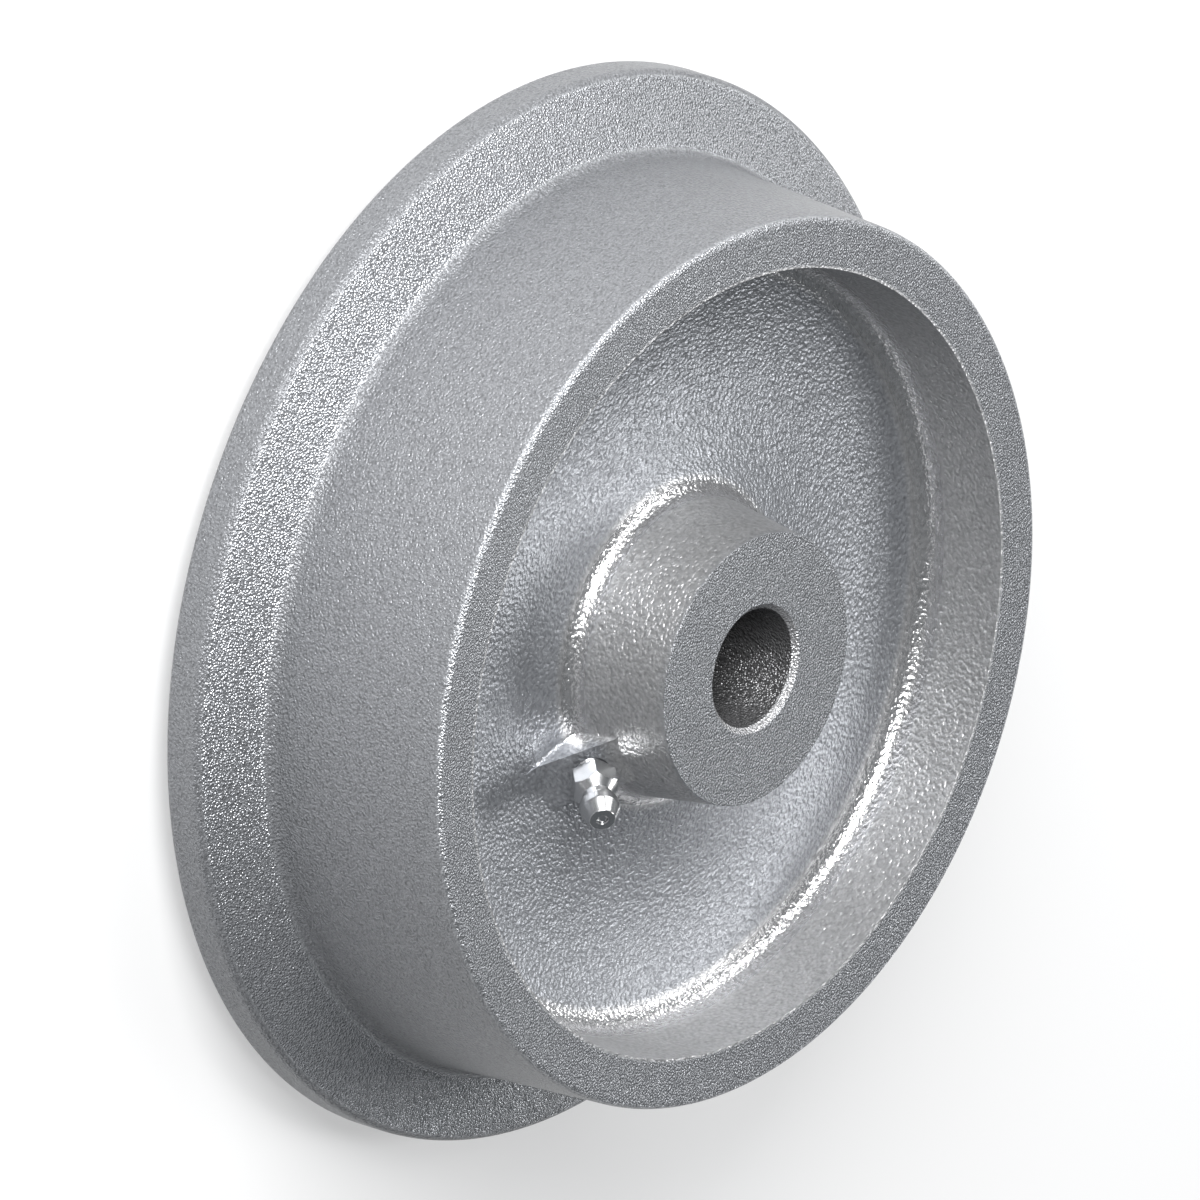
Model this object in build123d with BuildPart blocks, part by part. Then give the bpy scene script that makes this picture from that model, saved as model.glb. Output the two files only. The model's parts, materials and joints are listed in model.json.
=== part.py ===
# Flanged track wheel: one grey iron casting, with a grease nipple that feeds its plain bore.
# Millimetres. The wheel lies on its flange side. +Z runs along the bore, out of the face that has
# the nipple, +X points at the nipple, and the origin is in the bore at half the hub's length.

import os
from math import cos, radians, sin, sqrt, tan

from build123d import *

# Rim, tread and flange
tread_dia = 150.0           # at the rim's front face, where the tread is smallest
tread_draft = 3.1           # degrees, the tread grows towards the flange
flange_dia = 180.0
flange_edge = 7.0           # thickness of the flange at its edge
flange_slope = 18.0         # degrees, the flange is thicker at its root
rim_width = 46.0            # rim's front face to the flange's back
rim_wall = 8.6              # at either face
rim_inner_draft = 5.0       # degrees

# Hub and bore
hub_length = 54.0
hub_dia = 46.0              # at either face
hub_draft = 8.0             # degrees
bore_dia = 20.0
bore_chamfer = 1.0

# Web, dished alike on both sides
web_at_hub = 18.4           # thickness
web_at_middle = 11.2
web_at_rim = 16.8

# Rounded corners of the casting
tread_root_round = 3.0
flange_edge_round = 2.0
flange_back_round = 1.2
rim_edge_round = 1.2
hub_root_round = 3.2
web_rim_round = 3.1

# Lug for the nipple, a wedge in the corner of hub and web
nipple_tilt = 45.0          # degrees from the wheel's axis
lug_width = 10.0
lug_height = 4.5            # out of the corner of hub and web, along the nipple
lug_shift = 0.57            # of the nipple from that corner, up the pad
lug_length = 21.0           # of the slanted pad, its ends inside the hub and the web
lug_root_round = 0.8
oilway_dia = 3.0

# Grease nipple with an M6 taper thread, drawn plain at its outer diameter
nipple_thread_dia = 6.0
nipple_thread_length = 5.5
nipple_stand_off = 1.3      # length of thread left out of the lug
thread_clearance = 0.05     # on radius
tapped_spare_depth = 1.2
hex_across_flats = 7.0
hex_height = 3.1            # at its corners
hex_turn = 8.5              # degrees, as tightened
nipple_height = 10.5        # hexagon's seat to tip
nipple_neck_dia = 4.9
nipple_head_dia = 6.5
nipple_tip_dia = 4.2
nipple_tip_length = 2.35    # the cone towards the tip
nipple_head_length = 3.9    # tip and band
nipple_head_back = 0.8      # the cone towards the neck

# Ball, spring and the chamber that holds them
ball_dia = 2.5
ball_seat_gap = 0.05        # ball to the tip's lip
orifice_dia = 1.9
lip_thickness = 0.4
chamber_dia = 2.7
crimp_dia = 1.6
spring_dia = 2.35           # outside
spring_wire = 0.35
spring_coils = 8
spring_gap = 0.05           # spring to ball and to crimp

# The casting's outline
bore_r = bore_dia / 2
hub_top = hub_length / 2
rim_top = rim_width / 2
hub_r = hub_dia / 2
tread_r = tread_dia / 2
flange_r = flange_dia / 2
rim_inner_r = tread_r - rim_wall
hub_root = (hub_r + (hub_top - web_at_hub / 2) * tan(radians(hub_draft)), web_at_hub / 2)
rim_root = (rim_inner_r - (rim_top - web_at_rim / 2) * tan(radians(rim_inner_draft)), web_at_rim / 2)
web_middle = ((hub_root[0] + rim_root[0]) / 2, web_at_middle / 2)
flange_front = flange_edge - rim_top

# The tread's cone and the flange's cone meet at the tread's root.
cone, slope = tan(radians(tread_draft)), tan(radians(flange_slope))
root_r = (tread_r + cone * (rim_top - flange_front + slope * -flange_r)) / (1 - cone * slope)
tread_root = (root_r, flange_front + slope * (flange_r - root_r))


def below(point):
    """The same point on the wheel's other side."""
    return (point[0], -point[1])


hub_edge, bore_edge = (hub_r, hub_top), (bore_r, hub_top)
rim_inner_edge, rim_edge = (rim_inner_r, rim_top), (tread_r, rim_top)
flange_front_edge, flange_back_edge = (flange_r, flange_front), (flange_r, -rim_top)

with BuildPart() as wheel_casting:
    with BuildSketch(Plane.XZ) as outline:
        with BuildLine():
            Polyline(below(hub_root), below(hub_edge), below(bore_edge), bore_edge, hub_edge, hub_root)
            ThreePointArc(hub_root, web_middle, rim_root)
            Polyline(rim_root, rim_inner_edge, rim_edge, tread_root, flange_front_edge,
                     flange_back_edge, below(rim_inner_edge), below(rim_root))
            ThreePointArc(below(rim_root), below(web_middle), below(hub_root))
        make_face()
        rounds = {
            hub_root: hub_root_round, below(hub_root): hub_root_round,
            rim_root: web_rim_round, below(rim_root): web_rim_round,
            rim_edge: rim_edge_round, tread_root: tread_root_round,
            flange_front_edge: flange_edge_round, flange_back_edge: flange_back_round,
        }
        for corner, radius in rounds.items():
            fillet(outline.vertices().sort_by_distance(corner)[0], radius)
        for corner in (bore_edge, below(bore_edge)):
            chamfer(outline.vertices().sort_by_distance(corner)[0], bore_chamfer)
    revolve(axis=Axis.Z)

    # The lug's pad faces the nipple, out of the corner of hub and web.
    nipple_way = Vector(sin(radians(nipple_tilt)), 0, cos(radians(nipple_tilt)))
    up_the_pad = Vector(-cos(radians(nipple_tilt)), 0, sin(radians(nipple_tilt)))
    lug_corner = Vector(hub_root[0], 0, hub_root[1])
    pad_centre = lug_corner + nipple_way * lug_height + up_the_pad * lug_shift
    pad = Plane(origin=pad_centre, x_dir=up_the_pad, z_dir=nipple_way)
    with BuildSketch(pad):
        Rectangle(lug_length, lug_width)
    extrude(amount=-lug_length / 2)
    pad_face = wheel_casting.faces().sort_by_distance(pad_centre)[0]
    lug_sides = wheel_casting.faces().filter_by(Axis.Y)
    fillet(lug_sides.edges() - pad_face.edges(), lug_root_round)

    tapped_depth = nipple_thread_length - nipple_stand_off + tapped_spare_depth
    with BuildSketch(pad):
        Circle(nipple_thread_dia / 2)
    extrude(amount=-tapped_depth, mode=Mode.SUBTRACT)
    with BuildSketch(pad):
        Circle(oilway_dia / 2)
    extrude(amount=-(pad_centre.X / sin(radians(nipple_tilt)) - bore_r / 2), mode=Mode.SUBTRACT)

wheel_casting.part.label = "wheel_casting"

# The nipple's own plane lies at the seat of its hexagon.
seat = pad.offset(nipple_stand_off)
section = Plane(origin=seat.origin, x_dir=seat.x_dir, z_dir=-seat.y_dir)
nipple_axis = Axis(seat.origin, seat.z_dir)
hex_corner_r = hex_across_flats / sqrt(3)
neck_r, head_r, tip_r = nipple_neck_dia / 2, nipple_head_dia / 2, nipple_tip_dia / 2
neck_start = hex_height + hex_corner_r - neck_r
head_start = nipple_height - nipple_head_length
tip_start = nipple_height - nipple_tip_length
thread_r = nipple_thread_dia / 2 - thread_clearance
chamber_r, orifice_r, crimp_r = chamber_dia / 2, orifice_dia / 2, crimp_dia / 2
lip_bottom = nipple_height - lip_thickness
thread_end = -nipple_thread_length

with BuildPart() as grease_nipple:
    with BuildSketch(seat):
        RegularPolygon(hex_across_flats / 2, 6, major_radius=False, rotation=hex_turn)
    extrude(amount=neck_start)
    with BuildSketch(section):
        with BuildLine():
            Polyline((0, 0), (hex_corner_r, 0), (hex_corner_r, hex_height), (neck_r, neck_start),
                     (0, neck_start), close=True)
        make_face()
    revolve(axis=nipple_axis, mode=Mode.INTERSECT)
    with BuildSketch(section):
        with BuildLine():
            Polyline((0, thread_end), (thread_r, thread_end), (thread_r, 0), (neck_r, 0),
                     (neck_r, head_start - nipple_head_back), (head_r, head_start),
                     (head_r, tip_start), (tip_r, nipple_height), (0, nipple_height), close=True)
        make_face()
    revolve(axis=nipple_axis)
    with BuildSketch(section):
        with BuildLine():
            Polyline((0, thread_end), (crimp_r, thread_end), (crimp_r, thread_end + lip_thickness),
                     (chamber_r, thread_end + lip_thickness),
                     (chamber_r, lip_bottom - (chamber_r - orifice_r)), (orifice_r, lip_bottom),
                     (orifice_r, nipple_height), (0, nipple_height), close=True)
        make_face()
    revolve(axis=nipple_axis, mode=Mode.SUBTRACT)

grease_nipple.part.label = "grease_nipple"

# The ball closes the lip's edge from inside.
ball_r = ball_dia / 2
ball_height = lip_bottom - ball_seat_gap - sqrt(ball_r**2 - orifice_r**2)

with BuildPart() as check_ball:
    with BuildSketch(section):
        with BuildLine():
            bottom, top = (0, ball_height - ball_r), (0, ball_height + ball_r)
            ThreePointArc(bottom, (ball_r, ball_height), top)
            Line(top, bottom)
        make_face()
    revolve(axis=nipple_axis)

check_ball.part.label = "check_ball"

# The spring's coils stand between the crimped end and the ball's back.
coil_r = (spring_dia - spring_wire) / 2
spring_bottom = thread_end + lip_thickness + spring_gap + spring_wire / 2
spring_top = ball_height - sqrt((ball_r + spring_wire / 2) ** 2 - coil_r**2) - spring_gap
coil_start = seat.offset(spring_bottom)

with BuildPart() as check_spring:
    with BuildLine():
        spring_height = spring_top - spring_bottom
        wire_path = Helix(spring_height / spring_coils, spring_height, coil_r,
                          center=coil_start.origin, direction=coil_start.z_dir)
    with BuildSketch(Plane(origin=wire_path @ 0, z_dir=wire_path % 0)):
        Circle(spring_wire / 2)
    sweep(path=wire_path, is_frenet=True)

check_spring.part.label = "check_spring"

os.makedirs("parts", exist_ok=True)
for piece in (wheel_casting, grease_nipple, check_ball, check_spring):
    export_step(piece.part, f"parts/{piece.part.label}.step")
    print(piece.part.label, "volume", round(piece.part.volume, 2), "mm3")
print("nipple's axis meets the bore's axis at z", round(pad_centre.Z - pad_centre.X, 2))
print("pad at x + z", round(pad_centre.X + pad_centre.Z, 2))
print("tread root", tuple(round(v, 2) for v in tread_root))
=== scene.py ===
# %% [markdown]
# # A flanged track wheel in grey cast iron
#
# The wheel is one sand casting: a plain hub, a web that is dished on both sides, a rim with a
# conical tread, and a flange that keeps it on its rail. A small lug in the corner of hub and web
# carries a grease nipple, which feeds the plain bore through a slanted oilway.
#
# The CAD model gives the places and the sizes. This script builds the same pieces again as fine
# meshes with soft cast edges, gives them their skins, and sets up the studio.

# %% Load the frame
import json
from math import cos, pi, radians, sin, sqrt, tan

import bmesh
import bpy
from mathutils import Matrix, Vector


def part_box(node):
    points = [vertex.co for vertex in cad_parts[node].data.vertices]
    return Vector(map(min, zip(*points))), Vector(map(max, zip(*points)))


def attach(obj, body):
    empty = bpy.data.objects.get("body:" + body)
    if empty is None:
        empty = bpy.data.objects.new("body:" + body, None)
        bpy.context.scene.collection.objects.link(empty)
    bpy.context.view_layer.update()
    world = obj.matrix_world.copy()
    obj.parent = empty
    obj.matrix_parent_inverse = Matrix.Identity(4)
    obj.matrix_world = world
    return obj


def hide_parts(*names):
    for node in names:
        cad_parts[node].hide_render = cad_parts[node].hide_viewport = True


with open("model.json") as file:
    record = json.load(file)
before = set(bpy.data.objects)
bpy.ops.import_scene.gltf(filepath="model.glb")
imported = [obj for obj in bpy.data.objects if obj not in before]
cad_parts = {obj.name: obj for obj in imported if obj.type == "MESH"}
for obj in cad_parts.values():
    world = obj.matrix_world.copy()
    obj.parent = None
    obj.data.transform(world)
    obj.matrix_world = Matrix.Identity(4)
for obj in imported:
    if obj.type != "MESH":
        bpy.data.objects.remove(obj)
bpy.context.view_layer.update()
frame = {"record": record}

MM = 0.001
box_low, box_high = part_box("wheel_casting")
print("wheel is", round(box_high.x / MM * 2), "mm across and", round(box_high.z / MM * 2), "mm long")

# %% [markdown]
# ## Small tools
#
# A node tree is easier to read when each node is one line: its kind, what goes into it and its
# settings. A socket that is handed in is linked, and any other value is set on the input itself.

# %% Tools for node trees


def node(tree, kind, inputs=(), **settings):
    """Adds a node, sets it up and feeds its inputs."""
    made = tree.nodes.new(kind)
    for name, value in settings.items():
        setattr(made, name, value)
    for name, value in dict(inputs).items():
        if isinstance(value, bpy.types.NodeSocket):
            tree.links.new(value, made.inputs[name])
        else:
            made.inputs[name].default_value = value
    return made


def maths(tree, operation, *values):
    """One sum on numbers, as the socket that holds its result."""
    return node(tree, "ShaderNodeMath", enumerate(values), operation=operation).outputs[0]


def map_range(tree, limits, **settings):
    """A value moved from one range to another, as the socket that holds it."""
    return node(tree, "ShaderNodeMapRange", limits, **settings).outputs["Result"]


def round_axis(tree, place):
    """A place's axes, its part across the Z axis, and how far it lies from that axis."""
    axes = node(tree, "ShaderNodeSeparateXYZ", {"Vector": place}).outputs
    across = node(tree, "ShaderNodeCombineXYZ", {"X": axes["X"], "Y": axes["Y"]}).outputs[0]
    radius = node(tree, "ShaderNodeVectorMath", {0: across}, operation="LENGTH").outputs["Value"]
    return axes, across, radius


def new_group(name, kind, inputs, outputs):
    """An empty node group with named inputs and outputs, and its two end nodes."""
    tree = bpy.data.node_groups.new(name, kind)
    for way, sockets in (("INPUT", inputs), ("OUTPUT", outputs)):
        for label, socket_type in sockets.items():
            tree.interface.new_socket(label, in_out=way, socket_type="NodeSocket" + socket_type)
    given = tree.nodes.new("NodeGroupInput").outputs
    return tree, given, tree.nodes.new("NodeGroupOutput").inputs


# %% [markdown]
# Meshes come in three ways here: written point by point, grown by a tree of nodes on a modifier,
# or cut from one another. A modifier's result is always turned into a plain mesh at once, so that
# what follows works on real points and faces. A cut leaves faces that came from the tool, and
# these would have no skin, so each piece gets one skin all over at the end.

# %% Tools for meshes


def show(name, data):
    """Puts a mesh, lamp or camera into the scene as an object of that name."""
    shown = bpy.data.objects.new(name, data)
    bpy.context.scene.collection.objects.link(shown)
    return shown


def show_shape(name, shape):
    """Puts a shape that was built face by face into the scene, and lets go of the builder."""
    mesh = bpy.data.meshes.new(name)
    shape.to_mesh(mesh)
    shape.free()
    return show(name, mesh)


def settle(thing):
    """Makes the object's modifiers part of its plain mesh."""
    ready = thing.evaluated_get(bpy.context.evaluated_depsgraph_get())
    mesh = bpy.data.meshes.new_from_object(ready)
    thing.modifiers.clear()
    thing.data = mesh
    return thing


def cut(thing, operation, tool):
    """Joins a closed tool to the object, or cuts it out, or keeps what both share."""
    made = thing.modifiers.new("cut", "BOOLEAN")
    made.operation = operation
    made.object = tool
    made.solver = "EXACT"
    settle(thing)
    bpy.data.objects.remove(tool)
    return thing


def rod(name, radius, start, end, place, segments=96):
    """A closed round rod between two heights on the Z axis of a place."""
    middle = place @ Matrix.Translation((0, 0, (start + end) / 2))
    shape = bmesh.new()
    bmesh.ops.create_cone(shape, cap_ends=True, segments=segments, radius1=radius, radius2=radius,
                          depth=end - start, matrix=middle)
    return show_shape(name, shape)


def loft(rings):
    """A closed shape through rings of points, with a face over either end."""
    shape = bmesh.new()
    corners = [[shape.verts.new(p) for p in ring] for ring in rings]
    for one, other in zip(corners, corners[1:]):
        for k in range(len(one)):
            shape.faces.new((one[k - 1], one[k], other[k], other[k - 1]))
    shape.faces.new(corners[0])
    shape.faces.new(corners[-1])
    return shape


def outward(thing):
    """Turns all faces of a closed piece outward."""
    shape = bmesh.new()
    shape.from_mesh(thing.data)
    bmesh.ops.recalc_face_normals(shape, faces=shape.faces)
    shape.to_mesh(thing.data)
    shape.free()
    return thing


def one_skin(thing, material):
    """Gives every face of the object the same material, also those that a tool has left."""
    thing.data.materials.clear()
    thing.data.materials.append(material)
    thing.data.polygons.foreach_set("material_index", [0] * len(thing.data.polygons))


# %% [markdown]
# ## The outline that is turned
#
# Nearly everything here is round about one axis, so each piece starts as half a section. The
# corners of a casting are rounded, because sand can't hold a sharp one. A round is the path of a
# ball that touches both sides of a corner: its centre stands off both sides by its radius. Newton's
# method finds that centre for straight and for dished sides alike.

# %% Sides and the balls between them


def straight(start, end):
    """A straight side. Air is on the left on the way from start to end."""
    way = (end - start).normalized()
    return {"start": start, "end": end, "normal": Vector((-way.y, way.x))}


def dished(start, middle, end):
    """A side hollowed out to an arc through three points, with its centre in the air."""
    a, b = start - end, middle - end
    k = a.length_squared * b - b.length_squared * a
    centre = end + Vector((k.y, -k.x)) / (2 * (a.x * b.y - a.y * b.x))
    return {"start": start, "end": end, "centre": centre, "radius": (centre - start).length}


def stand_off(side, point):
    """How far a point stands off a side into the air, and the side's normal there."""
    if "centre" in side:
        arm = side["centre"] - point
        return side["radius"] - arm.length, arm.normalized()
    return (point - side["start"]).dot(side["normal"]), side["normal"]


newton_steps = 20


def touching_ball(one, other, radius):
    """Centre of the ball that touches both sides. A negative radius puts it inside the metal."""
    centre = one["end"].copy()
    for _ in range(newton_steps):
        (d1, n1), (d2, n2) = stand_off(one, centre), stand_off(other, centre)
        e1, e2 = radius - d1, radius - d2
        det = n1.x * n2.y - n1.y * n2.x
        centre += Vector((e1 * n2.y - e2 * n1.y, e2 * n1.x - e1 * n2.x)) / det
    return centre


# %% [markdown]
# Rows of points lie along each side, and a few more round each corner. A row close to either end
# of a side holds the soft shading to the corner, so that the flat faces stay flat to the eye. That
# is the same trick as a pair of support loops beside a bevel.

# %% Rows along the outline

support_row = 0.25 * MM


def spread(start, end, row_gap):
    """Shares of the way along a side where rows lie, with a support row at either end."""
    length = (end - start).length
    near = min(support_row, length / 4) / length
    count = max(1, round(length * (1 - 2 * near) / row_gap))
    return [near + (1 - 2 * near) * i / count for i in range(count + 1)]


def along(side, start, end, row_gap):
    """Points with normals on a side between two of its points."""
    for share in spread(start, end, row_gap):
        point = start.lerp(end, share)
        if "centre" in side:
            point = side["centre"] + (point - side["centre"]).normalized() * side["radius"]
        yield point, stand_off(side, point)[1]


def rounded(one, other, radius, round_step):
    """Points with normals round the corner between two sides."""
    (_, n1), (_, n2) = stand_off(one, one["end"]), stand_off(other, one["end"])
    hollow = n1.x * n2.y - n1.y * n2.x > 0
    reach = radius if hollow else -radius
    ball = touching_ball(one, other, reach)
    n1, n2 = stand_off(one, ball)[1], stand_off(other, ball)[1]
    steps = max(3, round(n1.angle(n2) / radians(round_step)))
    normals = [n1.slerp(n2, k / steps) for k in range(steps + 1)]
    return [(ball - n * reach, n) for n in normals]


def outline(sides, rounds, row_gaps, round_step=10):
    """Turns sides and the radii of the corners after them into points with normals."""
    corners = []
    for i, radius in enumerate(rounds):
        one, other = sides[i], sides[(i + 1) % len(sides)]
        sharp = [(one["end"].copy(), None)]
        corners.append(rounded(one, other, radius, round_step) if radius else sharp)
    points = []
    for i, side in enumerate(sides):
        points += along(side, corners[i - 1][-1][0], corners[i][0][0], row_gaps[i])
        points += corners[i]
    return points


# %% [markdown]
# Turning is a rule, so Geometry Nodes do it: a flat grid has one row for each point of the outline
# and one column for each angle. Every grid point takes its outline point's place and is turned
# about Z by its column's angle. The seam and the poles are merged, which closes the skin.

# %% A tree that turns an outline

weld_distance = 0.0005 * MM
turning, given, made = new_group(
    "turned_outline", "GeometryNodeTree",
    {"Outline": "Geometry", "Segments": "Int", "Material": "Material"}, {"Turned": "Geometry"})
points = node(turning, "GeometryNodeAttributeDomainSize", {"Geometry": given["Outline"]})
columns = maths(turning, "ADD", given["Segments"], 1)
grid = node(turning, "GeometryNodeMeshGrid",
            {"Vertices X": points.outputs["Point Count"], "Vertices Y": columns})
index = node(turning, "GeometryNodeInputIndex").outputs[0]
row = maths(turning, "FLOOR", maths(turning, "DIVIDE", index, columns))
share = maths(turning, "DIVIDE", maths(turning, "MODULO", index, columns), given["Segments"])
position = node(turning, "GeometryNodeInputPosition").outputs[0]
place = node(turning, "GeometryNodeSampleIndex",
             {"Geometry": given["Outline"], "Index": row, "Value": position},
             data_type="FLOAT_VECTOR")
turned_place = node(turning, "ShaderNodeVectorRotate",
                    {"Vector": place.outputs["Value"], "Angle": maths(turning, "MULTIPLY", share, 2 * pi)},
                    rotation_type="Z_AXIS")
wrapped = node(turning, "GeometryNodeSetPosition",
               {"Geometry": grid.outputs["Mesh"], "Position": turned_place.outputs["Vector"]})
merged = node(turning, "GeometryNodeMergeByDistance",
              {"Geometry": wrapped.outputs[0], "Distance": weld_distance})
smooth = node(turning, "GeometryNodeSetShadeSmooth", {"Geometry": merged.outputs[0]})


def finish_tree(tree, geometry, given, made):
    """Ends a tree: its copies are made real and get their material."""
    real = node(tree, "GeometryNodeRealizeInstances", {"Geometry": geometry})
    painted = node(tree, "GeometryNodeSetMaterial",
                   {"Geometry": real.outputs[0], "Material": given["Material"]})
    tree.links.new(painted.outputs[0], made[0])
    print("tree", tree.name, "has", len(tree.nodes), "nodes")


finish_tree(turning, smooth.outputs[0], given, made)

# %% [markdown]
# A modifier keeps its inputs under the identifiers of the tree's sockets, not under their names. A
# small helper looks the identifiers up, so that the sizes can be given by name and before the tree
# is first evaluated.

# %% Use a tree on an object


def grow(thing, tree, **values):
    """Runs a tree with its named inputs on the object and keeps the plain mesh."""
    modifier = thing.modifiers.new(tree.name, "NODES")
    modifier.node_group = tree
    for item in tree.interface.items_tree:
        if item.in_out == "INPUT" and item.name in values:
            modifier[item.identifier] = values[item.name]
    return settle(thing)


def turned(name, points, segments, material):
    """A piece that is round about Z, from the points of its outline."""
    mesh = bpy.data.meshes.new(name)
    mesh.from_pydata([(p.x, 0, p.y) for p, _ in points], [], [])
    piece = grow(show(name, mesh), turning, Segments=segments, Material=material)
    print(name, "has", len(piece.data.polygons), "faces as turned")
    return outward(piece)


# %% [markdown]
# ## Sizes of the casting
#
# The overall sizes are read off the frame. The others are the real wheel's own, in millimetres:
# the drafts let the pattern out of the sand, and the web is thick where it joins hub and rim. The
# tread and the flange's front are two cones, and the tread's root is where they meet.

# %% Casting sizes

flange_r = box_high.x / MM
hub_top = box_high.z / MM
bore_r = frame["record"]["mounts"][0]["dims"]["r_mm"]
bore_chamfer = 1.0
hub_r = 23.0
hub_draft = radians(8)
rim_top = 23.0
rim_wall = 8.6
rim_inner_draft = radians(5)
tread_r = 75.0
tread_draft = radians(3.1)
flange_edge = 7.0
flange_slope = radians(18)
web_at_hub = 18.4
web_at_middle = 11.2
web_at_rim = 16.8

hub_root = (hub_r + (hub_top - web_at_hub / 2) * tan(hub_draft), web_at_hub / 2)
rim_inner_r = tread_r - rim_wall
rim_root = (rim_inner_r - (rim_top - web_at_rim / 2) * tan(rim_inner_draft), web_at_rim / 2)
web_middle = ((hub_root[0] + rim_root[0]) / 2, web_at_middle / 2)
flange_front = flange_edge - rim_top
cone, slope = tan(tread_draft), tan(flange_slope)
root_r = (tread_r + cone * (rim_top - flange_front + slope * -flange_r)) / (1 - cone * slope)
tread_root = (root_r, flange_front + slope * (flange_r - root_r))
print("tread root at radius", round(root_r, 2), "mm")

# %% [markdown]
# The outline goes once round the metal of one half, and starts and ends at the hub's far edge.
# Most corners are cast and soft, with the rounds of the CAD model. Only the hub's edge and the
# rim's inner edge look crisp in the picture, so they get next to no round. The bore and its
# chamfer are machined, and a round of 0.3 mm is enough to catch the light there.

# %% The casting's outline


def spot(r, z):
    """A point of the half section, from millimetres."""
    return Vector((r, z)) * MM


def far(point):
    """The same point on the wheel's other side."""
    return (point[0], -point[1])


bore_edge = (bore_r, hub_top - bore_chamfer)
bore_mouth = (bore_r + bore_chamfer, hub_top)
hub_edge = (hub_r, hub_top)
rim_inner_edge = (rim_inner_r, rim_top)
rim_edge = (tread_r, rim_top)
flange_tip = (flange_r, flange_front)
flange_back = (flange_r, -rim_top)
crisp, drilled = 0.03, 0.3

# Each row: where the side ends, the radius of the corner there, and the gap between rows.
way_round = [
    (far(bore_mouth), drilled, 4),
    (far(bore_edge), drilled, 0.5),
    (bore_edge, drilled, 5),
    (bore_mouth, drilled, 0.5),
    (hub_edge, crisp, 2),
    (hub_root, 3.2, 2),
    (rim_root, 3.1, 2),
    (rim_inner_edge, crisp, 4),
    (rim_edge, 1.2, 2),
    (tread_root, 3.0, 4),
    (flange_tip, 2.0, 3),
    (flange_back, 1.2, 3),
    (far(rim_inner_edge), crisp, 5),
    (far(rim_root), 3.1, 5),
    (far(hub_root), 3.2, 5),
    (far(hub_edge), crisp, 5),
]
web_middles = {rim_root: web_middle, far(hub_root): far(web_middle)}


def closed_outline(way, **settings):
    """The outline of a closed section from its way round, which ends where it starts."""
    sides, start = [], way[-1][0]
    for end, _, _ in way:
        if end in web_middles:
            sides.append(dished(spot(*start), spot(*web_middles[end]), spot(*end)))
        else:
            sides.append(straight(spot(*start), spot(*end)))
        start = end
    rounds = [r * MM for _, r, _ in way]
    points = outline(sides, rounds, [gap * MM for _, _, gap in way], **settings)
    return sides, [*points, points[0]]


sides, section = closed_outline(way_round)
print("the casting's outline has", len(section) - 1, "points")

# %% [markdown]
# ## Skins
#
# The wheel has one bare cast skin, but its grain and gloss differ from place to place: crisp and
# fine on the flat faces, softer on the tread, and coarse in the recess between hub and rim, with
# the hollows at the walls' roots the smoothest. The bore and its chamfer are machined. The zones'
# colours differ too, and these differences are painted light and shade, not the iron's own: the
# tread with the flange's edge, the recess floor and the bore, darker than its chamfer, are painted
# darker as shade, the recess walls paler as painted light, and the roots' hollows palest, as a
# painted highlight. Each of these zones is a mask made from a point's radius and height, so the
# wheel needs no unwrapping.

# %% Where each sort of skin lies

zones, _, zone_out = new_group(
    "wheel_zones", "ShaderNodeTree", {},
    {"Recess": "Float", "Wall": "Float", "Root": "Float", "Tread": "Float", "Bore": "Float",
     "Chamfer": "Float", "Radius": "Float", "Place": "Vector"})
place = node(zones, "ShaderNodeTexCoord").outputs["Object"]
axes, _, radius = round_axis(zones, place)
height = axes["Z"]


def between(value, low, high, soft):
    """1 where the value lies between low and high, all in millimetres, with soft edges."""
    rise = map_range(zones, {"Value": value, "From Min": (low - soft) * MM, "From Max": (low + soft) * MM},
                     interpolation_type="SMOOTHSTEP")
    fall = map_range(zones, {"Value": value, "From Min": (high + soft) * MM, "From Max": (high - soft) * MM},
                     interpolation_type="SMOOTHSTEP")
    return maths(zones, "MULTIPLY", rise, fall)


def both(one, other):
    """Where two masks lie over each other."""
    return maths(zones, "MULTIPLY", one, other)


def outside(mask):
    """Where a mask doesn't lie."""
    return maths(zones, "SUBTRACT", 1, mask)


# The small sums, in millimetres, keep a zone's soft edge just off the corner that ends it.
in_recess = both(between(radius, hub_r, rim_inner_r + 0.4, 0.3),
                 between(height, -rim_top + 0.2, hub_top - 0.2, 0.2))
on_cone = both(between(radius, tread_r - 0.4, root_r + 2, 0.5),
               between(height, tread_root[1], rim_top - 0.6, 0.4))
on_flange_edge = between(radius, flange_r - 0.8, flange_r + 1, 0.3)
web_floor = between(radius, hub_root[0] + 0.5, rim_root[0] - 1, 1.2)
past_roots = between(radius, hub_root[0] + 2.4, rim_root[0] - 3.2, 0.9)
near_web = between(maths(zones, "ABSOLUTE", height), 0, 12.2, 0.9)
masks = {
    "Recess": in_recess,
    "Wall": both(in_recess, outside(web_floor)),
    "Root": both(in_recess, both(near_web, outside(past_roots))),
    "Tread": maths(zones, "MAXIMUM", on_cone, on_flange_edge),
    "Bore": between(radius, 0, bore_r + 0.1, 0.05),
    "Chamfer": between(radius, bore_r + 0.1, bore_r + 0.95, 0.05),
    "Radius": radius,
    "Place": place,
}
for name, value in masks.items():
    zones.links.new(value, zone_out[name])
print("the zones take", len(zones.nodes), "nodes")

# %% [markdown]
# Moulding sand leaves a skin of small pebbles with soft waves between them. Both come from one
# group with its size as an input: a Voronoi pattern gives the pebbles and a noise the waves, and
# Pebbles says how much there is of each. In the recess the grain runs a little round the wheel. So
# Draw stretches the pattern across the axis, and the radius, which is the fourth axis of the noise,
# breaks it up again on the way outward. A noise stays near its middle, so its range is widened.

# %% The grain that sand leaves


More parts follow.
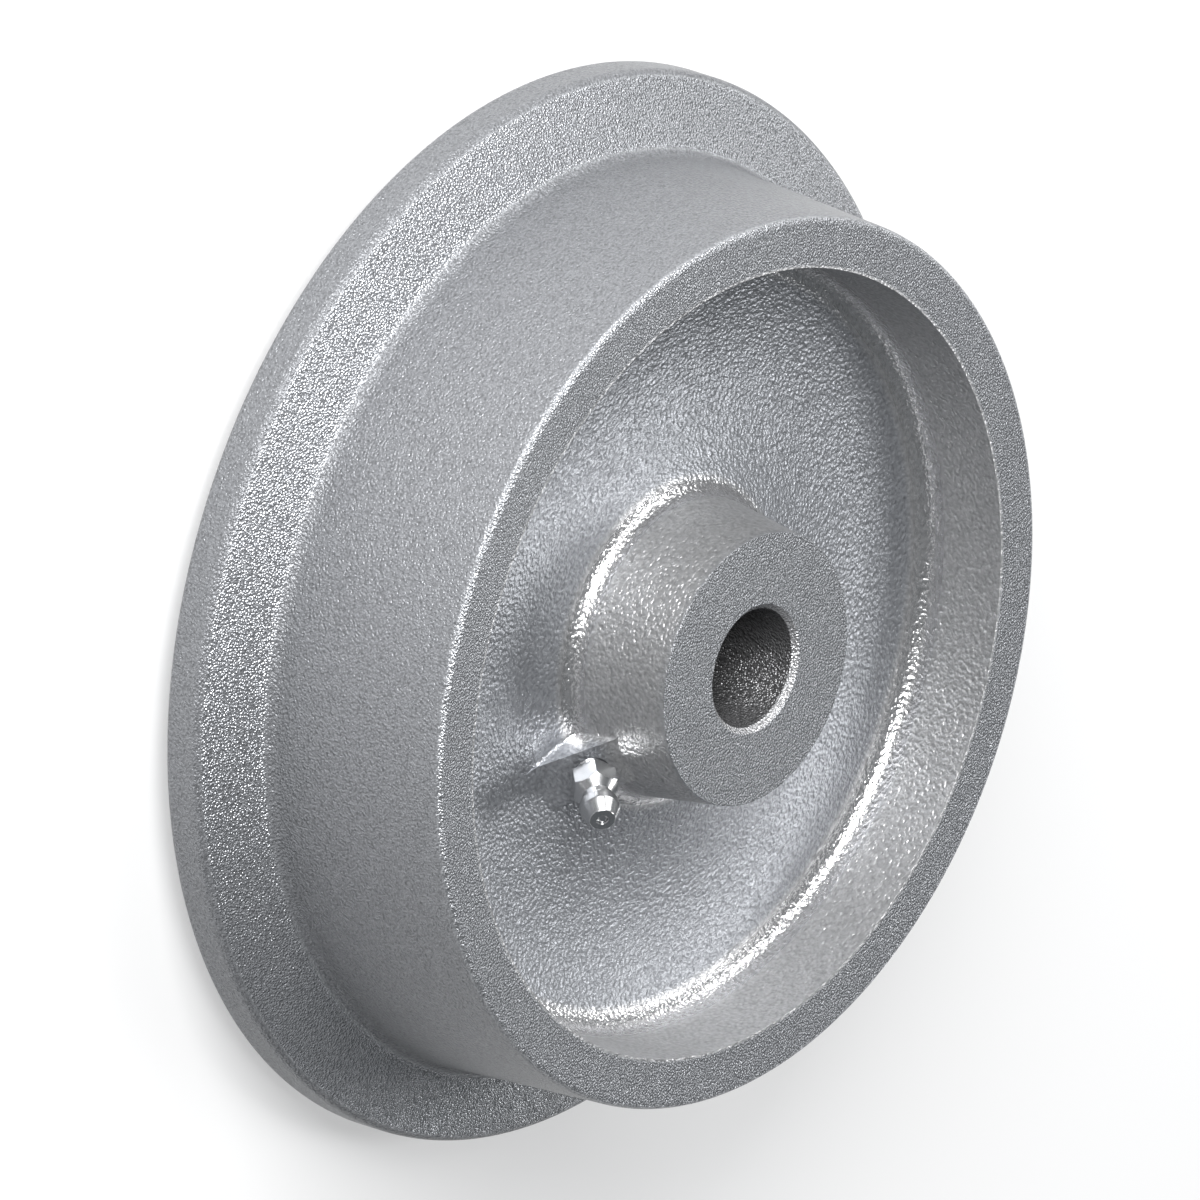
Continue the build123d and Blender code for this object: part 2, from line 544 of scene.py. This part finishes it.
def mixed(tree, share, one, other, kind="FLOAT"):
    """one where share is 0, other where it is 1."""
    first, second, result = {"FLOAT": (2, 3, 0), "RGBA": (6, 7, 2)}[kind]
    return node(tree, "ShaderNodeMix", {0: share, first: one, second: other},
                data_type=kind).outputs[result]


grain, given, made = new_group(
    "sand_grain", "ShaderNodeTree",
    {"Place": "Vector", "Radius": "Float", "Size": "Float", "Draw": "Float", "Pebbles": "Float"},
    {"Height": "Float"})
round_scale = node(grain, "ShaderNodeCombineXYZ", {"X": given["Draw"], "Y": given["Draw"], "Z": 1.0})
drawn = node(grain, "ShaderNodeVectorMath", {0: given["Place"], 1: round_scale.outputs[0]},
             operation="MULTIPLY").outputs[0]
scale = maths(grain, "DIVIDE", 1, given["Size"])
noise = node(grain, "ShaderNodeTexNoise",
             {"Vector": drawn, "W": given["Radius"], "Scale": scale, "Detail": 1.0, "Roughness": 0.5},
             noise_dimensions="4D")
waves = map_range(grain, {"Value": noise.outputs[0], "From Min": 0.28, "From Max": 0.72})
cells = node(grain, "ShaderNodeTexVoronoi", {"Vector": drawn, "Scale": scale})
pebbles = map_range(grain, {"Value": cells.outputs["Distance"], "From Min": 0.8, "From Max": 0.1})
grain.links.new(mixed(grain, given["Pebbles"], waves, pebbles), made["Height"])
print("the sand's grain takes", len(grain.nodes), "nodes")

# %% [markdown]
# Grey iron is a dull metal under a thin skin of scale, so the shader is only partly metallic, and
# least of all on the tread. Every value starts with the flat faces' one, and the zones lay
# theirs over it in turn. The grain's height drives the bump, and it also darkens the colour in the
# grain's hollows and lightens it on its tops: painted shade and painted highlight on each grain.

# %% Cast iron


def material(name):
    """An empty material: its tree, its shader and the material itself."""
    made = bpy.data.materials.new(name)
    made.use_nodes = True
    return made.node_tree, made.node_tree.nodes["Principled BSDF"], made


def opaque(red, green, blue):
    """A colour as a socket takes it, with nothing see-through in it."""
    return (red, green, blue, 1)


tree, shader, cast_iron = material("cast_iron")
zone = node(tree, "ShaderNodeGroup", node_tree=zones).outputs


def grain_of(size, draw, pebbles):
    """Height of a grain of a size in millimetres, stretched across the axis by a draw under 1."""
    settings = {"Place": zone["Place"], "Radius": zone["Radius"], "Size": size * MM, "Draw": draw,
                "Pebbles": pebbles}
    return node(tree, "ShaderNodeGroup", settings, node_tree=grain).outputs["Height"]


def by_zone(everywhere, kind="FLOAT", **there):
    """The flat faces' value, with the zones' own values laid over it in turn."""
    value = everywhere
    for name, other in there.items():
        value = mixed(tree, zone[name], value, other, kind)
    return value


height = by_zone(
    grain_of(size=0.40, draw=1.0, pebbles=0.75),
    Tread=grain_of(size=0.42, draw=0.9, pebbles=0.5),
    Recess=grain_of(size=0.60, draw=0.8, pebbles=0.4))
depth = by_zone(0.26 * MM, Tread=0.25 * MM, Recess=0.20 * MM, Wall=0.19 * MM, Root=0.15 * MM)
relief = maths(tree, "MULTIPLY", height, depth)
bump = node(tree, "ShaderNodeBump", {"Height": relief, "Distance": 1.0, "Strength": 1.0})
# The zones' colours paint light and shade on one iron: the tread and flange's edge, the recess floor and the
# bore are painted darker as shade, the walls paler as painted light, and the roots palest as a painted
# highlight, on top of their smoother and more metallic finish.
hue_with_painted_light = by_zone(
    opaque(0.45, 0.46, 0.48), "RGBA",
    Tread=opaque(0.22, 0.225, 0.237),
    Recess=opaque(0.32, 0.33, 0.35),
    Wall=opaque(0.46, 0.46, 0.465),
    Root=opaque(0.62, 0.62, 0.625),
    Bore=opaque(0.20, 0.20, 0.205),
    Chamfer=opaque(0.52, 0.52, 0.53))
# The grain's height darkens the colour in its hollows and lightens it on its tops, painted shade and painted
# highlight on each grain, more on the faces and tread than in the recess.
grain_shade_share = by_zone(0.8, Recess=0.55)
painted_grain_shade = maths(tree, "MULTIPLY_ADD", maths(tree, "SUBTRACT", height, 0.5), grain_shade_share, 1.0)
colour = node(tree, "ShaderNodeVectorMath", {0: hue_with_painted_light, 1: painted_grain_shade}, operation="MULTIPLY").outputs[0]
roughness = by_zone(0.27, Tread=0.35, Recess=0.38, Wall=0.38, Root=0.26)
metallic = by_zone(0.7, Tread=0.4, Wall=0.75, Root=0.9)
finish = {"Base Color": colour, "Roughness": roughness, "Metallic": metallic, "Normal": bump.outputs[0]}
for name, value in finish.items():
    tree.links.new(value, shader.inputs[name])
print("cast iron has", len(tree.nodes), "nodes")

# %% [markdown]
# The nipple is turned from bar and zinc plated, so it is bright, and only its gloss changes a
# little over the surface: a fine noise moves the roughness. The ball is polished and the spring is
# drawn wire. These two are the same all over, so their values stand on the shader itself.

# %% Plated steel, the ball's steel and the spring's


def bright_metal(name, colour):
    """A metal of one colour: its tree, its shader and the material itself."""
    tree, shader, made = material(name)
    shader.inputs["Base Color"].default_value = opaque(*colour)
    shader.inputs["Metallic"].default_value = 1.0
    return tree, shader, made


tree, shader, plated_steel = bright_metal("plated_steel", (0.72, 0.725, 0.73))
object_place = node(tree, "ShaderNodeTexCoord").outputs["Object"]
turned_marks = node(tree, "ShaderNodeTexNoise", {"Vector": object_place, "Scale": 900.0, "Detail": 3.0})
gloss = map_range(tree, {"Value": turned_marks.outputs[0], "To Min": 0.20, "To Max": 0.30})
tree.links.new(gloss, shader.inputs["Roughness"])

_, shader, bearing_steel = bright_metal("bearing_steel", (0.80, 0.80, 0.81))
shader.inputs["Roughness"].default_value = 0.1

_, shader, spring_steel = bright_metal("spring_steel", (0.55, 0.55, 0.56))
shader.inputs["Roughness"].default_value = 0.3
print("metals made:", plated_steel.name, bearing_steel.name, spring_steel.name)

# %% [markdown]
# ## The casting
#
# The outline gives all of the casting but the lug. A wheel could also be turned with the Screw
# modifier or by spinning an edge loop, but the tree keeps the number of segments as an input: 384
# of them make the rim look round even where only its edge shows.

# %% Turn the casting

wheel_segments = 384
casting = turned("wheel_casting_skin", section, wheel_segments, cast_iron)

# %% [markdown]
# The lug is a wedge with upright sides in the corner of hub and web, and its slanted pad faces
# the grease gun. All that stands on the pad is easiest to place in the pad's own axes, so these
# come first: Z out along the nipple, and X up the pad towards the hub's face.

# %% Where the lug stands

nipple_tilt = radians(45)
lug_half_width = 5.0 * MM
lug_height = 4.5 * MM
lug_shift = 0.57 * MM
nipple_way = Vector((sin(nipple_tilt), 0, cos(nipple_tilt)))
up_the_pad = Vector((-cos(nipple_tilt), 0, sin(nipple_tilt)))
pad_centre = Vector((hub_root[0], 0, hub_root[1])) * MM + nipple_way * lug_height + up_the_pad * lug_shift
turn = Matrix((up_the_pad, nipple_way.cross(up_the_pad), nipple_way)).transposed().to_4x4()
pad_place = Matrix.Translation(pad_centre) @ turn
print("pad's centre in mm:", [round(v / MM, 2) for v in pad_centre])

# %% [markdown]
# The corner where each side of the lug meets hub and web is a small hollow, as every inner corner
# of a casting is. A bevel can't follow it along the dished web, so it is rolled like the other
# rounds: for each point of the outline that the ball passes, one ring of points holds the lug's
# section there, with the hollow at either side. The rings sink a hair into the casting, so that
# the join finds no faces that only touch. They reach above the pad, whose plane cuts them off.

# %% The lug's sections

root_round = 0.8 * MM
root_steps = 6
lug_sink = 0.012 * MM
above_pad = 3 * lug_height
under_skin = 5 * MM
lug_top = 24 * MM
lug_inner_r, lug_outer_r = 22 * MM, 40 * MM


def lug_ring(point, normal):
    """The lug's section at one point of the outline: both roots, both sides, top and underside."""
    ball_rz = point + normal * (root_round - lug_sink)
    y = lug_half_width + root_round
    x = sqrt(ball_rz.x**2 - y**2)
    ball = Vector((x, y, ball_rz.y))
    down = -Vector((normal.x * x / ball_rz.x, normal.x * y / ball_rz.x, normal.y))
    side = Vector((0, -1, 0))
    root = [ball + down.slerp(side, k / root_steps) * root_round for k in range(root_steps + 1)]
    half = [*root, root[-1] + nipple_way * above_pad]
    other = [Vector((p.x, -p.y, p.z)) for p in reversed(half)]
    underside = Vector((point.x, 0, point.y)) - Vector((normal.x, 0, normal.y)) * under_skin
    return [*half, *other, underside]


rings = [lug_ring(p, n) for p, n in section if 0 < p.y < lug_top and lug_inner_r < p.x < lug_outer_r]
print("the lug has", len(rings), "sections")

# %% [markdown]
# Faces between neighbouring rings close the lug. A face of more than four corners may be bent, so
# such faces are cut in triangles first. Then the pad's plane takes off what stands above it, and
# one new face fills the opening.

# %% Close the lug and cut its pad

shape = loft(rings)
bmesh.ops.triangulate(shape, faces=[f for f in shape.faces if len(f.verts) > 4])
bmesh.ops.bisect_plane(shape, geom=shape.verts[:] + shape.edges[:] + shape.faces[:],
                       plane_co=pad_centre, plane_no=nipple_way, clear_outer=True)
bmesh.ops.holes_fill(shape, edges=[e for e in shape.edges if e.is_boundary])
bmesh.ops.recalc_face_normals(shape, faces=shape.faces)
print("open edges of the lug:", sum(not e.is_manifold for e in shape.edges))
cut(casting, "UNION", show_shape("lug", shape))

# %% [markdown]
# At its lower end the pad doesn't stop at a sharp line but runs softly into the web. That is one
# more hollow between two sides, the pad's line and the dished web, so the same ball finds its
# centre. A filler with that hollow on top is joined to the casting. It stands up by a hair, again
# so that no two faces only touch.

# %% The hollow at the pad's foot

foot_round = 5.0 * MM
foot_lift = 0.01 * MM
foot_steps = 10
foot_depth = 1.5
pad_reach = 9
pad_middle = Vector((pad_centre.x, pad_centre.z))
pad_line = straight(pad_middle, pad_middle - spot(-pad_reach, pad_reach))
web_side = next(side for side in sides if "centre" in side)
foot_ball = touching_ball(pad_line, web_side, foot_round)
pad_normal = stand_off(pad_line, foot_ball)[1]
web_normal = stand_off(web_side, foot_ball)[1]
arms = [pad_normal.slerp(web_normal, k / foot_steps) for k in range(foot_steps + 1)]
foot = [foot_ball - arm * (foot_round + foot_lift) for arm in arms]
foot += [foot[-1] - spot(0, foot_depth), foot[0] - spot(foot_depth, foot_depth)]
shape = loft([[(p.x, y, p.y) for p in foot] for y in (-lug_half_width, lug_half_width)])
bmesh.ops.recalc_face_normals(shape, faces=shape.faces)
cut(casting, "UNION", show_shape("pad_foot", shape))
print("the hollow's centre in mm:", [round(v / MM, 2) for v in foot_ball])

# %% [markdown]
# A tapped hole goes down from the pad, a little deeper than the nipple's thread, and a thinner
# oilway goes on from it into the bore. Both are drilled on the real casting, and here they are
# two rods that are cut out along the pad's own axis.

# %% Tapped hole and oilway

thread_length = 5.5
thread_left_out = 1.3
spare_depth = 1.2
tapped_r, oilway_r = 3.0 * MM, 1.5 * MM
drill_start = 5 * MM
hole_depth = (thread_length - thread_left_out + spare_depth) * MM
oilway_end = pad_centre.x / sin(nipple_tilt) - bore_r / 2 * MM
cut(casting, "DIFFERENCE", rod("tapped_hole", tapped_r, -hole_depth, drill_start, pad_place))
cut(casting, "DIFFERENCE", rod("oilway", oilway_r, -oilway_end, drill_start, pad_place))
print("tapped", round(hole_depth / MM, 1), "mm deep, oilway", round(oilway_end / MM, 1), "mm long")

# %% [markdown]
# The cast surfaces are shaded softly, and an edge is kept sharp only where two faces meet at
# more than a set angle, as at the pad's rim. The finished skin then takes the place of the CAD
# casting and moves with the wheel's body.

# %% Finish the casting

casting_crease = radians(32)
one_skin(casting, cast_iron)
casting.data.polygons.foreach_set("use_smooth", [True] * len(casting.data.polygons))
casting.data.set_sharp_from_angle(angle=casting_crease)
print("finished casting has", len(casting.data.polygons), "faces")

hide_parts("wheel_casting")
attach(casting, "wheel")

# %% [markdown]
# ## The grease nipple
#
# The nipple is the small valve that a grease gun clips onto. Its body is turned: shank, neck, a
# head with a cone to either side, and a chamber for ball and spring, with a lip at the tip that
# the ball closes. So its outline is drawn in its own axes, with Z from the hexagon's seat to the
# tip, and the finished body is put on the pad at the end.

# %% Nipple sizes, in millimetres from the hexagon's seat

hex_flats = 7.0
hex_height = 3.1
hex_turn = radians(8.5)
nipple_height = 10.5
neck_r, head_r, tip_r = 2.45, 3.25, 2.1
tip_length = 2.35
head_length = 3.9
head_back = 0.8
shank_top, neck_start = 0.7, 1.2
thread_r = 2.95
ball_r = 1.25
ball_gap = 0.05
orifice_r = 0.95
lip = 0.4
chamber_r = 1.35
crimp_r = 0.8
hex_corner_r = hex_flats / sqrt(3)
lip_bottom = nipple_height - lip
head_start = nipple_height - head_length
ball_height = lip_bottom - ball_gap - sqrt(ball_r**2 - orifice_r**2)
seat_place = pad_place @ Matrix.Translation((0, 0, thread_left_out * MM))
print("the ball's centre is", round(ball_height, 2), "mm above the seat")

# %% [markdown]
# The way round the body goes up the chamber, over the lip and down the outside. The shank's side
# has a row every 0.05 mm, because the thread is pressed into these rows next.

# %% Turn the body

thread_row = 0.05
body_way = [
    ((crimp_r, lip - thread_length), 0.05, 1),
    ((chamber_r, lip - thread_length), 0, 1),
    ((chamber_r, lip_bottom - chamber_r + orifice_r), 0, 2),
    ((orifice_r, lip_bottom), 0, 1),
    ((orifice_r, nipple_height), 0.08, 1),
    ((tip_r, nipple_height), 0.15, 1),
    ((head_r, nipple_height - tip_length), 0.25, 1),
    ((head_r, head_start), 0.2, 1),
    ((neck_r, head_start - head_back), 0.25, 1),
    ((neck_r, neck_start), 0, 1),
    ((thread_r, shank_top), 0, 1),
    ((thread_r, -thread_length), 0.2, thread_row),
    ((crimp_r, -thread_length), 0.05, 1),
]
nipple_segments = 96
nipple_round_step = 15
_, body_section = closed_outline(body_way, round_step=nipple_round_step)
nipple = turned("grease_nipple_skin", body_section, nipple_segments, plated_steel)

# %% [markdown]
# A thread is a groove that winds round the shank, one pitch down for each turn. It could be cut
# with a swept profile, but a rule on the points is simpler and keeps the mesh closed: how far a
# point is along the winding comes from its height and its angle, a zigzag of that is the groove's
# depth, and the point moves in by it. The groove fades out at both ends, as a die leaves it.

# %% A tree that cuts the thread

threading, given, made = new_group(
    "cut_thread", "GeometryNodeTree",
    {"Blank": "Geometry", "Radius": "Float", "Pitch": "Float", "Depth": "Float", "Start": "Float",
     "End": "Float", "Entry": "Float", "Runout": "Float", "Material": "Material"},
    {"Threaded": "Geometry"})
skin_share = 0.99
place = node(threading, "GeometryNodeInputPosition").outputs[0]
axes, across, radius = round_axis(threading, place)
angle = maths(threading, "ARCTAN2", axes["Y"], axes["X"])
turns = maths(threading, "SUBTRACT", maths(threading, "DIVIDE", axes["Z"], given["Pitch"]),
              maths(threading, "DIVIDE", angle, 2 * pi))
zigzag = maths(threading, "MULTIPLY", maths(threading, "PINGPONG", turns, 0.5), 2)
entry_end = maths(threading, "ADD", given["Start"], given["Entry"])
runout_start = maths(threading, "SUBTRACT", given["End"], given["Runout"])
fade_in = map_range(threading, {"Value": axes["Z"], "From Min": given["Start"], "From Max": entry_end})
fade_out = map_range(threading, {"Value": axes["Z"], "From Min": given["End"], "From Max": runout_start})
groove = maths(threading, "MULTIPLY", zigzag, maths(threading, "MULTIPLY", fade_in, fade_out))
share = maths(threading, "MULTIPLY", groove,
              maths(threading, "DIVIDE", given["Depth"], given["Radius"]))
inward = node(threading, "ShaderNodeVectorMath",
              {0: across, "Scale": maths(threading, "MULTIPLY", share, -1)}, operation="SCALE")
on_skin = maths(threading, "GREATER_THAN", radius,
                maths(threading, "MULTIPLY", given["Radius"], skin_share))
threaded = node(threading, "GeometryNodeSetPosition",
                {"Geometry": given["Blank"], "Selection": on_skin, "Offset": inward.outputs[0]})
finish_tree(threading, threaded.outputs[0], given, made)

# %% [markdown]
# The thread stops at the seat, where the hexagon starts, and its first turn is eased over 0.4 mm.

# %% Cut the thread

thread_end_bare = 0.3
grow(nipple, threading, Radius=thread_r * MM, Pitch=1.0 * MM, Depth=0.45 * MM,
     Start=(thread_end_bare - thread_length) * MM, End=0.0, Entry=0.4 * MM, Runout=0.3 * MM,
     Material=plated_steel)
print("threaded nipple has", len(nipple.data.polygons), "faces")

# %% [markdown]
# A hexagon's corners are taken off by a cone, which leaves a curved line on each flat. That curve
# comes by itself when a coned ring and a prism of six sides are cut with each other, as on the
# lathe. A small bevel takes the edge off, because plated edges are never quite sharp.

# %% The hexagon

ring_inset = 0.4
ring_spare = 0.2
ring_r = neck_r - ring_inset
hex_way = [
    ((ring_r, hex_height + hex_corner_r - ring_r), 0, 1),
    ((hex_corner_r + ring_spare, hex_height - ring_spare), 0, 1),
    ((hex_corner_r + ring_spare, 0), 0, 1),
    ((ring_r, 0), 0, 1),
]
_, ring_section = closed_outline(hex_way, round_step=nipple_round_step)
hexagon = turned("hexagon", ring_section, nipple_segments, plated_steel)
half_flat = radians(30)
below_seat = 1 * MM
flats_turn = Matrix.Rotation(hex_turn + half_flat, 4, "Z")
flats = rod("flats", hex_corner_r * MM, -below_seat, 2 * hex_height * MM, flats_turn, segments=6)
cut(hexagon, "INTERSECT", flats)
bevel = hexagon.modifiers.new("worn edges", "BEVEL")
bevel.width = 0.07 * MM
bevel.segments = 2
bevel.limit_method = "ANGLE"
bevel.angle_limit = radians(25)
settle(hexagon)
cut(nipple, "UNION", hexagon)
print("nipple with its hexagon has", len(nipple.data.polygons), "faces")

# %% [markdown]
# Soft shading would bend the light on the hexagon's six flats, which mirror their surroundings
# as plain plates. They are the only large faces of the nipple, so their area picks them out, and
# they are shaded flat. Marking the sharp edges comes first, because it resets the shading.

# %% Finish the nipple

nipple_crease = radians(28)
flat_area = 2 * MM**2
nipple.data.transform(seat_place)
one_skin(nipple, plated_steel)
nipple.data.set_sharp_from_angle(angle=nipple_crease)
nipple.data.polygons.foreach_set("use_smooth", [face.area < flat_area for face in nipple.data.polygons])
print("flat faces of the hexagon:", sum(face.area >= flat_area for face in nipple.data.polygons))
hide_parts("grease_nipple")
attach(nipple, "wheel")

# %% [markdown]
# ## Ball and spring
#
# A hardened ball closes the tip from inside. Grease lifts it off its lip, so it rides on its own
# body. It could be a UV sphere, but turning half a circle puts its poles on the nipple's axis,
# and the tree is there already.

# %% The check ball

ball_rows = 32
ball_segments = 48
tilts = [pi / 2 - pi * i / ball_rows for i in range(ball_rows + 1)]
half_circle = [(spot(max(0, ball_r * cos(t)), ball_height + ball_r * sin(t)), None) for t in tilts]
ball = turned("check_ball_skin", half_circle, ball_segments, bearing_steel)
ball.data.transform(seat_place)
one_skin(ball, bearing_steel)
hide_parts("check_ball")
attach(ball, "ball")

# %% [markdown]
# A coil spring holds the ball against its lip. It follows the simplest rule of all, a round wire
# along a helix, so it is a tree with its turns and sizes as inputs. The helix starts at the
# crimped end and stops at the ball's back, with a small gap to both.

# %% The check spring

helix_points, wire_sides = 40, 12
coiling, given, made = new_group(
    "coil_spring", "GeometryNodeTree",
    {"Turns": "Float", "Radius": "Float", "Height": "Float", "Wire": "Float", "Material": "Material"},
    {"Spring": "Geometry"})
helix = node(coiling, "GeometryNodeCurveSpiral", {
    "Resolution": helix_points, "Rotations": given["Turns"], "Start Radius": given["Radius"],
    "End Radius": given["Radius"], "Height": given["Height"]})
wire = node(coiling, "GeometryNodeCurvePrimitiveCircle",
            {"Resolution": wire_sides, "Radius": given["Wire"]}, mode="RADIUS")
coil = node(coiling, "GeometryNodeCurveToMesh", {
    "Curve": helix.outputs[0], "Profile Curve": wire.outputs[0], "Fill Caps": True})
smooth = node(coiling, "GeometryNodeSetShadeSmooth", {"Geometry": coil.outputs[0]})
finish_tree(coiling, smooth.outputs[0], given, made)

wire_r = 0.175
spring_r = 1.0
spring_gap = 0.05
coils = 8.0
spring_bottom = lip - thread_length + spring_gap + wire_r
spring_top = ball_height - sqrt((ball_r + wire_r)**2 - spring_r**2) - spring_gap
spring = show("check_spring_skin", bpy.data.meshes.new("check_spring_skin"))
grow(spring, coiling, Turns=coils, Radius=spring_r * MM, Height=(spring_top - spring_bottom) * MM,
     Wire=wire_r * MM, Material=spring_steel)
outward(spring)
spring.data.transform(seat_place @ Matrix.Translation((0, 0, spring_bottom * MM)))
print("spring is", round(spring_top - spring_bottom, 2), "mm long between the wire's ends")
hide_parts("check_spring")
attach(spring, "wheel")

# %% [markdown]
# ## Studio
#
# The camera looks down at the wheel along a slanted line with no perspective, and it is rolled so
# that the axle's line runs to the right, as in the picture. Three directions that stand square on
# each other say all of that: right and up in the image, and back from the wheel to the camera. They
# are the columns of the camera's matrix.

# %% Camera

right = Vector((-0.5607, 0.3238, 0.7621)).normalized()
back = right.cross(Vector((-0.7090, -0.6631, -0.2399))).normalized()
up = back.cross(right)
seen_width = 0.1955
aim_height = 22.6 * MM
aim_left, aim_up = 22.04 * MM, 10.24 * MM
middle = Vector((0, 0, aim_height)) - right * aim_left + up * aim_up
camera = show("camera", bpy.data.cameras.new("camera"))
camera.data.type = "ORTHO"
camera.data.ortho_scale = seen_width
camera.matrix_world = Matrix.Translation(middle + back) @ Matrix((right, up, back)).transposed().to_4x4()
bpy.context.scene.camera = camera
print("camera looks from", [round(v, 3) for v in back], "and sees", seen_width, "m")

# %% [markdown]
# The wheel stands on the end of its hub on a pale floor. The floor has to look white, but more
# light on it would also wash out the iron. So its shader is mixed with a plain white glow, for
# rays from the camera and for those that meet it in a gloss or through glass. The light that it
# throws back on the wheel stays plain, and the rest of the mix keeps the wheel's shadow.

# %% Floor


def seen(tree):
    """1 for rays that see the backdrop straight, in a gloss or through glass, 0 for plain light."""
    path = node(tree, "ShaderNodeLightPath").outputs
    mirrored = maths(tree, "MAXIMUM", path["Is Glossy Ray"], path["Is Transmission Ray"])
    return maths(tree, "MAXIMUM", path["Is Camera Ray"], mirrored)


floor_size = 3.0
floor_drop = 0.02 * MM
glow_share = 0.45
shape = bmesh.new()
bmesh.ops.create_grid(shape, x_segments=1, y_segments=1, size=floor_size,
                      matrix=Matrix.Translation((0, 0, box_low.z - floor_drop)))
floor = show_shape("floor", shape)
tree, shader, floor_skin = material("floor")
shader.inputs["Base Color"].default_value = opaque(0.9, 0.9, 0.9)
shader.inputs["Roughness"].default_value = 0.9
shader.inputs["Specular IOR Level"].default_value = 0.0
white = node(tree, "ShaderNodeEmission", {"Color": opaque(1, 1, 1), "Strength": 1.0})
glow = maths(tree, "MULTIPLY", seen(tree), glow_share)
paler = node(tree, "ShaderNodeMixShader", {0: glow, 1: shader.outputs[0], 2: white.outputs[0]})
tree.links.new(paler.outputs[0], tree.nodes["Material Output"].inputs["Surface"])
floor.data.materials.append(floor_skin)
print("floor lies", round(floor_drop / MM, 2), "mm under the hub's end")

# %% [markdown]
# Metal is seen by what it mirrors, so each lamp is a wide soft plate with a place of its own. The
# front one stands close to the camera and lights most of the wheel. The left one shines over the
# top of the wheel, from the side away from the nipple. The web one comes from the right of the
# image, at a slant from which the web and the roots throw it back. A faint bluish world fills in.

# %% Lamps and surroundings

lamp_distance = 0.9


def softbox(name, azimuth, elevation, width, height, power):
    """A lamp that faces the wheel from an azimuth (from +X towards +Y) and an elevation in degrees."""
    a, e = radians(azimuth), radians(elevation)
    way = Vector((cos(a) * cos(e), sin(a) * cos(e), sin(e)))
    lamp = show(name, bpy.data.lights.new(name, "AREA"))
    lamp.data.shape = "RECTANGLE"
    lamp.data.size = width
    lamp.data.size_y = height
    lamp.data.energy = power
    lamp.location = way * lamp_distance
    lamp.rotation_mode = "QUATERNION"
    lamp.rotation_quaternion = way.to_track_quat("Z", "Y")
    print(name, "gives", power, "W from a plate of", width, "by", height, "m")


softbox("left_softbox", azimuth=206, elevation=33, width=0.50, height=0.40, power=3.2)
softbox("front_softbox", azimuth=276, elevation=33, width=0.65, height=0.45, power=14.5)
softbox("web_softbox", azimuth=142, elevation=53, width=0.24, height=0.24, power=2.3)

fill_colour, fill_strength = opaque(0.88, 0.94, 1), 0.13
world = bpy.data.worlds.new("studio")
bpy.context.scene.world = world
world.use_nodes = True
tree = world.node_tree
plain = node(tree, "ShaderNodeBackground", {"Color": fill_colour, "Strength": fill_strength})
tree.links.new(plain.outputs[0], tree.nodes["World Output"].inputs["Surface"])
bpy.context.scene.view_settings.view_transform = "Standard"
